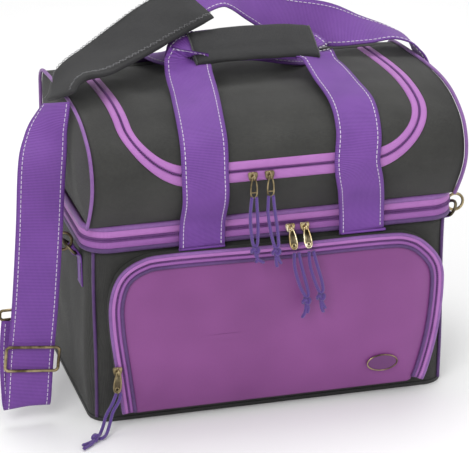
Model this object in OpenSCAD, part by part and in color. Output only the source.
// Bowling ball bag: lower ball compartment, zip-round upper shoe compartment with a
// U-shaped lid flap, arched front pocket, two carry handles and a padded shoulder strap.
// X to the right, Y to the back, Z up; origin at the centre of the base.

/* [Body] */
// Width of the bag, end to end
body_w = 400; // [380:1:420]
// Depth of the lower compartment, front to back
body_d = 228; // [222:1:234]
// Height of the lower compartment, up to the zip band
lower_h = 196; // [190:1:200]
// Thickness of the padded walls
wall_t = 3; // [2:0.5:4]
// Corner radius of the lower compartment in plan
corner_r = 24; // [16:1:30]

/* [Zip band] */
// Height of the band between the two compartments
band_h = 30; // [26:1:32]
// How far the band stands out from the walls
band_proud = 6; // [4:0.5:7]

/* [Lid] */
// Half of the lid's width, to the middle of its zip
lid_half_w = 160; // [150:1:164]
// Radius of the lid's front corners
lid_corner_r = 62; // [50:1:75]
// Width of one zip tape
tape_w = 7; // [5:0.5:9]

/* [Carry gear] */
// Width of the webbing
webbing_w = 50; // [45:1:50]
// Thickness of the webbing
webbing_t = 1.6; // [1.2:0.1:2]
// Width of the shoulder pad
pad_w = 75; // [65:1:78]
// Thickness of the shoulder pad
pad_t = 10; // [8:1:12]
// Diameter of the pull cords
cord_d = 3.6; // [3:0.1:4]

/* [Hidden] */
$fn = 32;

half_w = body_w / 2;
half_d = body_d / 2;
gap = 0.3;
base_t = 4;
split_z = lower_h + band_h / 2;      // the zip line between the compartments
band_top = lower_h + band_h;
end_t = 5.5;                         // end panels of the upper compartment

// Side profile of the upper compartment, from the front of the band over the top to the back
upper_points = [
  [-118, band_top + gap], [-127, 238], [-138, 254], [-147, 272], [-149, 286], [-146, 301], [-136, 316],
  [-116, 328], [-92, 336], [-60, 340], [-20, 340], [32, 337], [80, 333], [102, 329], [112, 321],
  [114, 306], [114, band_top + gap]
];
// Outline of the front pocket, up the left side, over the top and down the right side
pocket_points = [
  [-168, 10], [-174, 60], [-180, 110], [-180, 145], [-170, 172], [-148, 187], [-115, 191], [0, 189],
  [115, 189], [150, 185], [172, 170], [186, 148], [188, 118], [183, 70], [173, 28], [166, 10]
];
pocket_y = -half_d - gap;            // the plane that the pocket is sewn to
pocket_tape_y = pocket_y - 12;       // the plane of its zip
pocket_depth = 9;                    // thickness of the padded flap
gusset_t = 3;
pocket_tape_w = 6;

lid_zip_w = 97;                      // diagonal place of the lid's front zip line
lid_back_w = 292;                    // diagonal place of the lid's hinge line

ring_y = -75;
ring_bar = [half_w + 9, 188];        // place of the D-rings' straight bars, x and z
ring_r = 14;
ring_tilt = 45;
wire_r = 1.6;
swing_x = ring_bar[0] + ring_r * cos(ring_tilt);
swing_z = ring_bar[1] + ring_r * sin(ring_tilt);
hook_r = 9.4;
hook_wire_r = 1.6;
left_eye = [-263, -81.5, 123];
right_eye = [217, -62, 248];
eye_w = 56;

mid_slider_x = [17, 33];
mid_slider_z = split_z - 5;
lid_slider_x = [-33, -15];
lid_slider_z = 276;
pocket_slider_x = -175;
pocket_slider_z = 66;
slider_w = 11;
pull_l = 22;
pull_w = 6;

front_root_y = -half_d - 8.5;
rear_root_y = half_d + 3.5;
root_z = 193.6;
leg_x = [-80, 100];                  // middle of the handles' left and right legs
root_r = 1.5;

// Route of the front handle: up the left leg, through the grip and down the right leg,
// each row holding the place and the direction of the webbing's width
front_handle_route = [
  [[-80, -123, 197.4], [1, 0, 0]], [[-81, -130, 225], [1, 0, 0]], [[-82, -148, 256], [1, 0, 0]],
  [[-84, -154, 284], [1, 0, 0]], [[-83, -144, 318], [1, 0, 0.1]], [[-80, -114, 338], [1, 0.1, 0.1]],
  [[-74, -70, 349], [1, 0.3, 0.2]], [[-70, -30, 362], [0.6, 0.8, 0.4]], [[-60, -7, 374.8], [0, 0.9, 0.45]],
  [[0, -5, 375.8], [0, 0.9, 0.45]], [[60, -7, 371.5], [0, 0.9, 0.45]], [[76, -30, 360], [-0.6, 0.8, 0.4]],
  [[82, -70, 349], [-1, 0.3, 0.2]], [[86, -114, 338], [-1, 0.1, 0.1]], [[84, -144, 316], [-1, 0, 0.1]],
  [[80, -154, 284], [-1, 0, 0]], [[86, -148, 256], [-1, 0, 0]], [[93, -131, 225], [-1, 0, 0]],
  [[96, -123, 197.4], [-1, 0, 0]]
];
// Route of the rear handle, in the same form
rear_handle_route = [
  [[-80, 122.6, 196.6], [1, 0, 0]], [[-80, 123.6, 240], [1, 0, 0]], [[-80, 121, 300], [1, 0, 0]],
  [[-79, 108, 332], [1, 0, 0]], [[-76, 76, 346], [1, 0, 0]], [[-66, 46, 358], [0.6, 0.7, 0.3]],
  [[-50, 26, 366], [0, 0.9, 0.4]], [[0, 21, 367], [0, 0.9, 0.4]], [[50, 21, 356], [0, 0.9, 0.3]],
  [[70, 44, 349], [-0.6, 0.7, 0.25]], [[84, 76, 341], [-1, 0, 0]], [[94, 108, 332], [-1, 0, 0]],
  [[98, 121, 300], [-1, 0, 0]], [[100, 123.6, 240], [-1, 0, 0]], [[100, 122.6, 196.6], [-1, 0, 0]]
];
// Route of the shoulder pad's middle line, left to right
pad_route = [
  [[-209, -38, 346], [0.1, 1, 0]], [[-193, -26, 362], [0.1, 1, 0]], [[-160, -8, 372], [0, 1, 0.1]],
  [[-120, 14, 385], [-0.1, 1, 0.2]], [[-80, 34, 399], [-0.1, 1, 0.3]], [[-42, 44, 412], [-0.1, 1, 0.32]]
];
// Route of the strap past the pad, over the top and down the right end to its hook
strap_route = [
  [[-38, 45.4, 413], [0, 1, 0.4]], [[-14, 50, 421], [0, 1, 0.6]], [[20, 59, 403], [0, 0.8, 0.8]],
  [[60, 63, 381], [0, 0.5, 0.9]], [[100, 60, 372], [0, 0.4, 1]], [[150, 54, 362], [0, 0.9, 0.4]],
  [[184, 48, 357], [0.1, 1, 0]], [[204, 41, 347], [0, 1, 0]], [[211, 34, 330], [0, 1, 0.1]],
  [[214, 10, 300], [0, 0.9, -0.4]], [[217, -20, 273], [0, 0.8, -0.7]], [[217, -52, 254], [0, 0.5, -0.86]]
];
// Route of the strap's left drop: down the outside, round its fold near the floor, up to its hook
drop_route = [
  [[-215.5, -42.3, 340.5], [-0.3, 1, -0.1]], [[-223, -50, 327], [-0.6, 1, 0]], [[-231, -58, 309], [-1, 0.8, 0]],
  [[-239, -73, 280], [-1, 0.2, 0]], [[-246.5, -88, 216], [-1, 0, 0]], [[-254.4, -95, 138], [-1, 0, 0]],
  [[-261.4, -97, 78], [-1, 0, 0]], [[-266, -99, 30], [-1, 0, 0]], [[-267, -94.5, 21], [-1, 0, 0]],
  [[-268, -90, 30], [-1, 0, 0]], [[-268, -86, 78], [-1, 0, 0]], [[-264, -82, 114], [-1, 0, 0]]
];

// ---- helpers -------------------------------------------------------------

function unit(v) = v / norm(v);
function catmull(a, b, c, d, t) =
  0.5 * (2 * b + (c - a) * t + (2 * a - 5 * b + 4 * c - d) * t * t + (3 * b - a - 3 * c + d) * t * t * t);
function smooth(p, n) = [
  for (i = [0:len(p) - 2], k = [0:n - 1])
    catmull(p[max(i - 1, 0)], p[i], p[i + 1], p[min(i + 2, len(p) - 1)], k / n),
  p[len(p) - 1]
];
function tangent(p, i) = unit(p[min(i + 1, len(p) - 1)] - p[max(i - 1, 0)]);
function left_of(t) = [-t[1], t[0]];
function inset(p, d) = [for (i = [0:len(p) - 1]) p[i] - left_of(tangent(p, i)) * d];

module loft(rings) {
  m = len(rings[0]);
  n = len(rings);
  polyhedron(
    points = [for (r = rings) each r],
    faces = concat(
      [[for (k = [0:m - 1]) k]],
      [for (i = [0:n - 2], k = [0:m - 1]) [i * m + k, (i + 1) * m + k, (i + 1) * m + (k + 1) % m]],
      [for (i = [0:n - 2], k = [0:m - 1]) [i * m + k, (i + 1) * m + (k + 1) % m, i * m + (k + 1) % m]],
      [[for (k = [0:m - 1]) (n - 1) * m + m - 1 - k]]
    ),
    convexity = 6
  );
}

function ribbon_ring(p, t, w, wide, thick) =
  let (n = unit(cross(t, w)), u = unit(cross(n, t)), a = u * wide / 2, b = n * thick / 2)
  [p + a - b, p + a + b, p - a + b, p - a - b];

// A flat strip that follows a route of places and width directions
module ribbon(route, wide, thick, n = 3) {
  p = smooth([for (r = route) r[0]], n);
  w = smooth([for (r = route) unit(r[1])], n);
  loft([for (i = [0:len(p) - 1]) ribbon_ring(p[i], tangent(p, i), w[i], wide, thick)]);
}

// A round cord along points, with a side direction that its path never runs along
module cord(points, d, side = [0, 1, 0], n = 2) {
  p = smooth(points, n);
  loft([for (i = [0:len(p) - 1])
    let (t = tangent(p, i), v = unit(cross(t, side)), u = cross(v, t))
    [for (a = [0:45:315]) p[i] + (u * cos(a) + v * sin(a)) * d / 2]]);
}

module plan(grow, r) {
  x = half_w + grow - r;
  y = half_d + grow - r;
  polygon([
    for (q = [[1, 1, 0], [-1, 1, 90], [-1, -1, 180], [1, -1, 270]], a = [0:10:90])
      [q[0] * x + r * cos(a + q[2]), q[1] * y + r * sin(a + q[2])]
  ]);
}

// A closed band round the body between two heights
module hoop(z0, z1, outer, inner) {
  difference() {
    translate([0, 0, z0]) linear_extrude(z1 - z0) plan(outer, corner_r + outer);
    translate([0, 0, z0 - 1]) linear_extrude(z1 - z0 + 2) plan(-inner, corner_r - inner);
  }
}

// One side of the lower wall: turn 0 is the right end, 90 the back, 180 the left, 270 the front
module wall_side(turn) {
  reach = [half_w, half_d, half_w, half_d][turn / 90];
  side = [half_d, half_w, half_d, half_w][turn / 90] - gap / 2;
  intersection() {
    hoop(base_t + gap, lower_h - gap, 0, wall_t);
    rotate([0, 0, turn]) translate([0, 0, -1])
      linear_extrude(lower_h + 2)
        polygon([[reach - 40, 40 - side], [reach + 5, -side - 5], [reach + 5, side + 5], [reach - 40, side - 40]]);
  }
}

module upper_outline(d) {
  polygon(inset(smooth(upper_points, 3), d));
}

module across(w) {
  rotate([90, 0, 90]) translate([0, 0, -w / 2]) linear_extrude(w) children();
}

// The wrap of the upper compartment between two depths under its surface
module wrap(w, outer, inner) {
  difference() {
    across(w) upper_outline(outer);
    across(w + 2) upper_outline(inner);
    translate([-w, -half_d, 0]) cube([2 * w, body_d - wall_t, band_top + wall_t + 2 * gap]);
  }
}

// A diagonal prism in the shape of the lid, grown by d all round but level with its back edge
module lid_prism(d, back = 0) {
  rotate([45, 0, 0]) translate([0, 0, 150])
    linear_extrude(260) {
      x = lid_half_w + d - lid_corner_r;
      r = lid_corner_r;
      polygon(concat(
        [for (a = [180:10:270]) [-x + r * cos(a), lid_zip_w - d + r + r * sin(a)]],
        [for (a = [270:10:360]) [x + r * cos(a), lid_zip_w - d + r + r * sin(a)]],
        [[x + r, lid_back_w + back], [-x - r, lid_back_w + back]]
      ));
    }
}

module pocket_outline(d) {
  polygon(inset(smooth(pocket_points, 2), d));
}

module pocket_layer(y0, y1) {
  translate([0, y1, 0]) rotate([90, 0, 0]) linear_extrude(y1 - y0) children();
}

// ---- lower compartment ---------------------------------------------------

module base_panel() {
  color("#2b2a2c") linear_extrude(base_t) plan(0, corner_r);
}

module base_board() {
  color("#3a3a3a") translate([0, 0, base_t + gap]) linear_extrude(3) plan(-wall_t - 1, corner_r - wall_t - 1);
}

module ball_ring() {
  color("#444444") translate([0, 0, base_t + 3 + 2 * gap]) rotate_extrude($fn = 64)
    translate([64, 0]) square([26, 26]);
}

module front_panel() {
  color("#37373a") wall_side(270);
}

module back_panel() {
  color("#37373a") wall_side(90);
}

module left_panel() {
  color("#333336") wall_side(180);
}

module right_panel() {
  color("#333336") wall_side(0);
}

module corner_piping() {
  c = corner_r * 0.29;
  color("#552d6e")
    for (x = [-1, 1], y = [-1, 1])
      translate([x * (half_w - c + 2), y * (half_d - c + 2), base_t + gap])
        cylinder(r = 2, h = lower_h - base_t - 2 * gap);
}

module band_lower_tape() {
  color("#a45cb0") hoop(lower_h + 6, split_z - 2.2, band_proud - 1, wall_t);
}

module band_lower_piping() {
  color("#552d6e") hoop(lower_h, lower_h + 6, band_proud, wall_t);
}

module band_lower_coil() {
  color("#4a2a60") hoop(split_z - 2.2, split_z - gap, band_proud - 0.5, 1);
}

module back_hinge_strip() {
  color("#2b2a2c") translate([-140, half_d + band_proud + gap, lower_h + 1])
    cube([280, 0.8, band_h / 2 - 1.6]);
}

module pocket_gusset() {
  color("#3a3a3c") pocket_layer(pocket_tape_y + gap, pocket_y) difference() {
    pocket_outline(0);
    pocket_outline(gusset_t);
    translate([-200, 0]) square([400, 10.5]);
  }
}

module pocket_zip_outer() {
  color("#8d4f9b") pocket_layer(pocket_tape_y - 3, pocket_tape_y) difference() {
    pocket_outline(0);
    pocket_outline(pocket_tape_w);
    translate([-200, 0]) square([400, 13]);
  }
}

module d_ring_tabs() {
  color("#6b3a8c")
    for (s = [0, 1]) mirror([s, 0, 0]) {
      translate([half_w + gap, ring_y - 11, 148]) cube([2, 22, ring_bar[1] - 150]);
      translate([half_w + gap, ring_y - 11, ring_bar[1] - 4]) cube([8, 22, 2]);
      difference() {
        translate([ring_bar[0], ring_y + 11, ring_bar[1]]) rotate([90, 0, 0]) cylinder(r = 2.6, h = 22);
        translate([ring_bar[0], ring_y + 12, ring_bar[1]]) rotate([90, 0, 0]) cylinder(r = wire_r + 0.1, h = 24);
      }
    }
}

// ---- D-rings and strap hooks ---------------------------------------------

module rod(a, b, r) {
  d = b - a;
  translate(a) rotate([0, acos(d[2] / norm(d)), atan2(d[1], d[0])]) cylinder(r = r, h = norm(d));
}

// Drawn for the right end; the left ring is its mirror image
module d_ring() {
  translate([ring_bar[0], ring_y, ring_bar[1]]) rotate([0, -ring_tilt, 0]) {
    translate([0, ring_r, 0]) rotate([90, 0, 0]) cylinder(r = wire_r, h = 2 * ring_r);
    rotate([0, 0, -90]) rotate_extrude(angle = 180, $fn = 48) translate([ring_r, 0]) circle(r = wire_r);
  }
}

module left_d_ring() {
  color("#8a7a4c") mirror([1, 0, 0]) d_ring();
}

module right_d_ring() {
  color("#8a7a4c") d_ring();
}

module hook_rivets() {
  color("#8a7a4c")
    for (s = [0, 1]) mirror([s, 0, 0])
      translate([swing_x + hook_r + hook_wire_r + gap, ring_y, swing_z]) rotate([0, 90, 0]) cylinder(r = 2.4, h = 1.6);
}

// A flat rectangular frame in the XZ plane
module wire_frame(w, h, wire) {
  difference() {
    cube([w, wire, h], center = true);
    cube([w - 2 * wire, wire + 1, h - 2 * wire], center = true);
  }
}

// The hook's eye for the webbing, its long side along X before turning
module eye() {
  wire_frame(eye_w, 11, 3.2);
}

module bow(s) {
  translate([s * swing_x, ring_y, swing_z]) rotate([90, 0, 0])
    rotate_extrude($fn = 48) translate([hook_r, 0]) circle(r = hook_wire_r);
}

module left_hook() {
  color("#8a7a4c") {
    bow(-1);
    rod([-swing_x - 2, ring_y, swing_z - hook_r], left_eye + [0, 0, 4], 1.5);
    translate(left_eye) eye();
  }
}

module right_hook() {
  color("#8a7a4c") {
    bow(1);
    rod([swing_x, ring_y, swing_z + hook_r], right_eye + [0, -3, -3], 1.5);
    translate(right_eye) rotate([-59, 0, 0]) rotate([0, 0, 90]) eye();
  }
}

// ---- upper compartment ---------------------------------------------------

module upper_floor() {
  color("#3a3a3c") translate([0, 0, split_z + 1]) linear_extrude(3) plan(-wall_t - gap, corner_r - wall_t);
}

module upper_shell() {
  color("#3c3c3f") difference() {
    wrap(body_w - 2 * gap, 0, wall_t);
    lid_prism(tape_w + gap, gap);
  }
}

// The end panel is the side profile itself, closed along the band
module upper_end(s) {
  translate([s * (half_w + end_t / 2), 0, 0]) across(end_t) upper_outline(0.6);
}

module upper_left_end() {
  color("#333336") upper_end(-1);
}

module upper_right_end() {
  color("#333336") upper_end(1);
}

module upper_end_piping() {
  color("#552d6e")
    for (s = [-1, 1]) translate([s * (half_w + end_t / 2 - 0.4), 0, 0]) difference() {
      across(3.4) upper_outline(-1.6);
      across(4) upper_outline(0.3);
      translate([-20, -half_d - 20, split_z]) cube([40, body_d + 40, band_h / 2 + 3]);
    }
}

module band_upper_coil() {
  color("#4a2a60") hoop(split_z + gap, split_z + 2.2, band_proud - 0.5, 1);
}

module band_upper_tape() {
  color("#a45cb0") hoop(split_z + 2.2, band_top - 6, band_proud - 1, wall_t);
}

module band_upper_piping() {
  color("#552d6e") hoop(band_top - 6, band_top, band_proud, wall_t);
}

module lid_zip_outer() {
  color("#b274bd") difference() {
    intersection() {
      wrap(body_w - 20, -1.2, wall_t - 1);
      lid_prism(tape_w, -gap);
    }
    lid_prism(gap, 20);
  }
}

// ---- lid and pocket flap -------------------------------------------------

module lid_panel() {
  color("#3c3c3f") intersection() {
    wrap(body_w - 20, 0, wall_t);
    lid_prism(-tape_w - gap, -1);
  }
}

module lid_zip_inner() {
  color("#b274bd") difference() {
    intersection() {
      wrap(body_w - 20, -1.2, wall_t - 1);
      lid_prism(-gap, -1);
    }
    lid_prism(-tape_w, 20);
  }
}

module pocket_flap() {
  color("#8a4c8a") pocket_layer(pocket_tape_y - pocket_depth, pocket_tape_y - 1) difference() {
    pocket_outline(2 * pocket_tape_w + gap);
    translate([-200, 0]) square([400, 13]);
  }
}

module pocket_zip_inner() {
  color("#9a5aa6") pocket_layer(pocket_tape_y - 3, pocket_tape_y) difference() {
    pocket_outline(pocket_tape_w + 2 * gap);
    pocket_outline(2 * pocket_tape_w);
    translate([-200, 0]) square([400, 13]);
  }
}

// ---- zip sliders, their pulls and cords ----------------------------------

// A slider with its back face at y = 0 and two ears that hold the pull's pin
module slider() {
  translate([-slider_w / 2, -3, -4.5]) cube([slider_w, 3, 9]);
  for (x = [-1, 1]) translate([x * (pull_w / 2 + 1.1) - 0.8, -6.5, -2]) cube([1.6, 4, 4]);
}

// A pull whose pin lies at its own origin, hanging down
module pull() {
  translate([-pull_w / 2, 0, 0]) rotate([0, 90, 0]) cylinder(r = 1.1, h = pull_w);
  difference() {
    translate([-pull_w / 2, -0.8, -pull_l]) cube([pull_w, 1.6, pull_l]);
    translate([0, 2, -pull_l + 3.6]) rotate([90, 0, 0]) cylinder(r = 2, h = 4);
  }
}

mid_y = -half_d - band_proud - gap;
lid_y = -half_d - 37.4;
pocket_slider_y = pocket_tape_y - 3.4;
pin_out = 5.6;                       // pins lie this far in front of a slider's back face
mid_lean = -36;

module mid_slider(i) {
  color("#b59548") translate([mid_slider_x[i], mid_y, mid_slider_z]) slider();
}

module lid_slider(i) {
  color("#a08a58") translate([lid_slider_x[i], lid_y, lid_slider_z + 4]) slider();
}

module pocket_slider() {
  color("#a08a58") translate([pocket_slider_x, pocket_slider_y, pocket_slider_z]) slider();
}

module mid_pull(i) {
  color("#b59548") translate([mid_slider_x[i], mid_y - pin_out, mid_slider_z]) rotate([mid_lean, 0, 0]) pull();
}

module lid_pull(i) {
  color("#a08a58") translate([lid_slider_x[i], lid_y - pin_out, lid_slider_z + 4]) pull();
}

module pocket_pull() {
  color("#a08a58") translate([pocket_slider_x, pocket_slider_y - pin_out, pocket_slider_z])
    rotate([-6, 0, 0]) pull();
}

// Two strands from a pull's eye to just above a knot, then the knot with its tail
module pull_cord(points, tail) {
  n = len(points) - 1;
  cord(concat(
    [for (i = [0:n]) points[i] - [2.4 + 1.6 * sin(180 * i / n), 0, 0]],
    [points[n] - [0, 0, 3]],
    [for (i = [n:-1:0]) points[i] + [2.4 + 1.6 * sin(180 * i / n), 0, 0]]
  ), cord_d);
  loft([for (k = [0:6])
    let (p = points[n] - [0, 0, 5.4 + k * 1.5], r = 1.2 + 3.4 * sin(30 * k))
    [for (a = [0:45:315]) p + [-r * cos(a), r * sin(a), 0]]]);
  cord(tail, cord_d);
}

mid_cord_points = [
  [[17, -146, 187], [18, -149, 172], [23, -150, 152], [27, -150, 140]],
  [[33, -146, 187], [35, -149, 172], [40, -150, 154], [43, -150, 143]]
];
mid_tails = [
  [[27, -150, 125], [26, -150, 120], [23, -150, 114]],
  [[43, -150, 128], [44, -150, 123], [46, -150, 118]]
];
lid_cord_points = [
  [[-33, -158, 259], [-33, -157, 240], [-32, -156, 222], [-31, -155, 206]],
  [[-15, -158, 259], [-14, -157, 240], [-11, -156, 220], [-8, -155, 202]]
];
lid_tails = [
  [[-31, -155, 191], [-28, -155, 188], [-22, -155, 184]],
  [[-8, -155, 187], [-8, -155, 183], [-7, -155, 178]]
];
// The pocket's cord hangs to the floor, and its knot lies there
pocket_cord_left = [
  [-178.5, -139, 44.5], [-184, -142, 34], [-191, -143, 22], [-195, -145, 11], [-199, -148, 4], [-203, -154, 3],
  [-199, -157, 3], [-193, -152, 5], [-188, -147, 14], [-184, -145, 26], [-177, -142, 36], [-173.5, -139, 44.5]
];
pocket_knot = [[-204, -157, 4.6], [-208, -161, 4.6], [-212, -165, 4.6]];
pocket_tail = [[-213, -166, 2.4], [-217, -170, 2.4], [-222, -174, 2.4]];

module pocket_cord() {
  color("#5a32a0") {
    cord(pocket_cord_left, cord_d, [1, -1, 0]);
    cord(pocket_knot, 2 * cord_d, [0, 0, 1]);
    cord(pocket_tail, cord_d, [0, 0, 1]);
  }
}

// ---- handles and shoulder strap ------------------------------------------

// The fold of webbing that each leg swings about
module roots(y) {
  for (x = leg_x) translate([x - webbing_w / 2, y, root_z]) rotate([0, 90, 0]) cylinder(r = root_r, h = webbing_w);
}

module front_handle_roots() {
  color("#7b3fa6") roots(front_root_y);
}

module rear_handle_roots() {
  color("#7b3fa6") roots(rear_root_y + 3);
}

// Rows first to last of a route, with the ends moved a little way towards the next rows inside
function stretch(route, first, last, trim = 0) = concat(
  [[route[first][0] + (route[first + 1][0] - route[first][0]) * trim, route[first][1]]],
  [for (i = [first + 1:last - 1]) route[i]],
  [[route[last][0] + (route[last - 1][0] - route[last][0]) * trim, route[last][1]]]
);

// The two legs of a handle, each as many rows long, and the grip between them
module legs(route, rows) {
  last = len(route) - 1;
  ribbon(stretch(route, 0, rows), webbing_w, webbing_t);
  ribbon(stretch(route, last - rows, last), webbing_w, webbing_t);
}

module grip(route, rows) {
  ribbon(stretch(route, rows, len(route) - 1 - rows, 0.22), webbing_w, webbing_t);
}

module front_handle_legs() {
  color("#7b3fa6") legs(front_handle_route, 3);
}

module front_handle_grip() {
  color("#7b3fa6") grip(front_handle_route, 3);
}

module rear_handle_legs() {
  color("#7b3fa6") legs(rear_handle_route, 2);
}

module rear_handle_grip() {
  color("#7b3fa6") grip(rear_handle_route, 2);
}

// The grip wrap, a flat sleeve over the front handle's webbing
module handle_wrap() {
  color("#2a2a2c") translate([8, -6, 377]) rotate([26, 0, 0]) translate([-68, -30, 0]) cube([136, 49, 5]);
}

module shoulder_pad() {
  color("#2f2f31") ribbon(pad_route, pad_w, pad_t, 2);
}

module strap_webbing() {
  color("#7b3fa6") ribbon(strap_route, webbing_w, webbing_t);
}

module strap_drop() {
  color("#7b3fa6") ribbon(drop_route, webbing_w, webbing_t);
}

// Adjuster frame on the front of the drop
module strap_adjuster() {
  color("#8a7a4c") translate([-260.6, -101.6, 78]) rotate([0, 6, 0]) wire_frame(60, 30, 3.6);
}

base_panel();
base_board();
ball_ring();
front_panel();
back_panel();
left_panel();
right_panel();
corner_piping();
band_lower_tape();
band_lower_piping();
band_lower_coil();
back_hinge_strip();
pocket_gusset();
pocket_zip_outer();
d_ring_tabs();
left_d_ring();
right_d_ring();
upper_floor();
upper_shell();
upper_left_end();
upper_right_end();
upper_end_piping();
band_upper_tape();
band_upper_piping();
band_upper_coil();
lid_zip_outer();
lid_panel();
lid_zip_inner();
pocket_flap();
pocket_zip_inner();
mid_slider(0);  // mid_slider_left
mid_slider(1);  // mid_slider_right
lid_slider(0);  // lid_slider_left
lid_slider(1);  // lid_slider_right
pocket_slider();
mid_pull(0);  // mid_pull_left
mid_pull(1);  // mid_pull_right
lid_pull(0);  // lid_pull_left
lid_pull(1);  // lid_pull_right
pocket_pull();
color("#5a32a0") pull_cord(mid_cord_points[0], mid_tails[0]);  // mid_cord_left
color("#5a32a0") pull_cord(mid_cord_points[1], mid_tails[1]);  // mid_cord_right
color("#5a32a0") pull_cord(lid_cord_points[0], lid_tails[0]);  // lid_cord_left
color("#5a32a0") pull_cord(lid_cord_points[1], lid_tails[1]);  // lid_cord_right
pocket_cord();
front_handle_roots();
front_handle_legs();
front_handle_grip();
handle_wrap();
rear_handle_roots();
rear_handle_legs();
rear_handle_grip();
hook_rivets();
left_hook();
right_hook();
shoulder_pad();
strap_webbing();
strap_drop();
strap_adjuster();
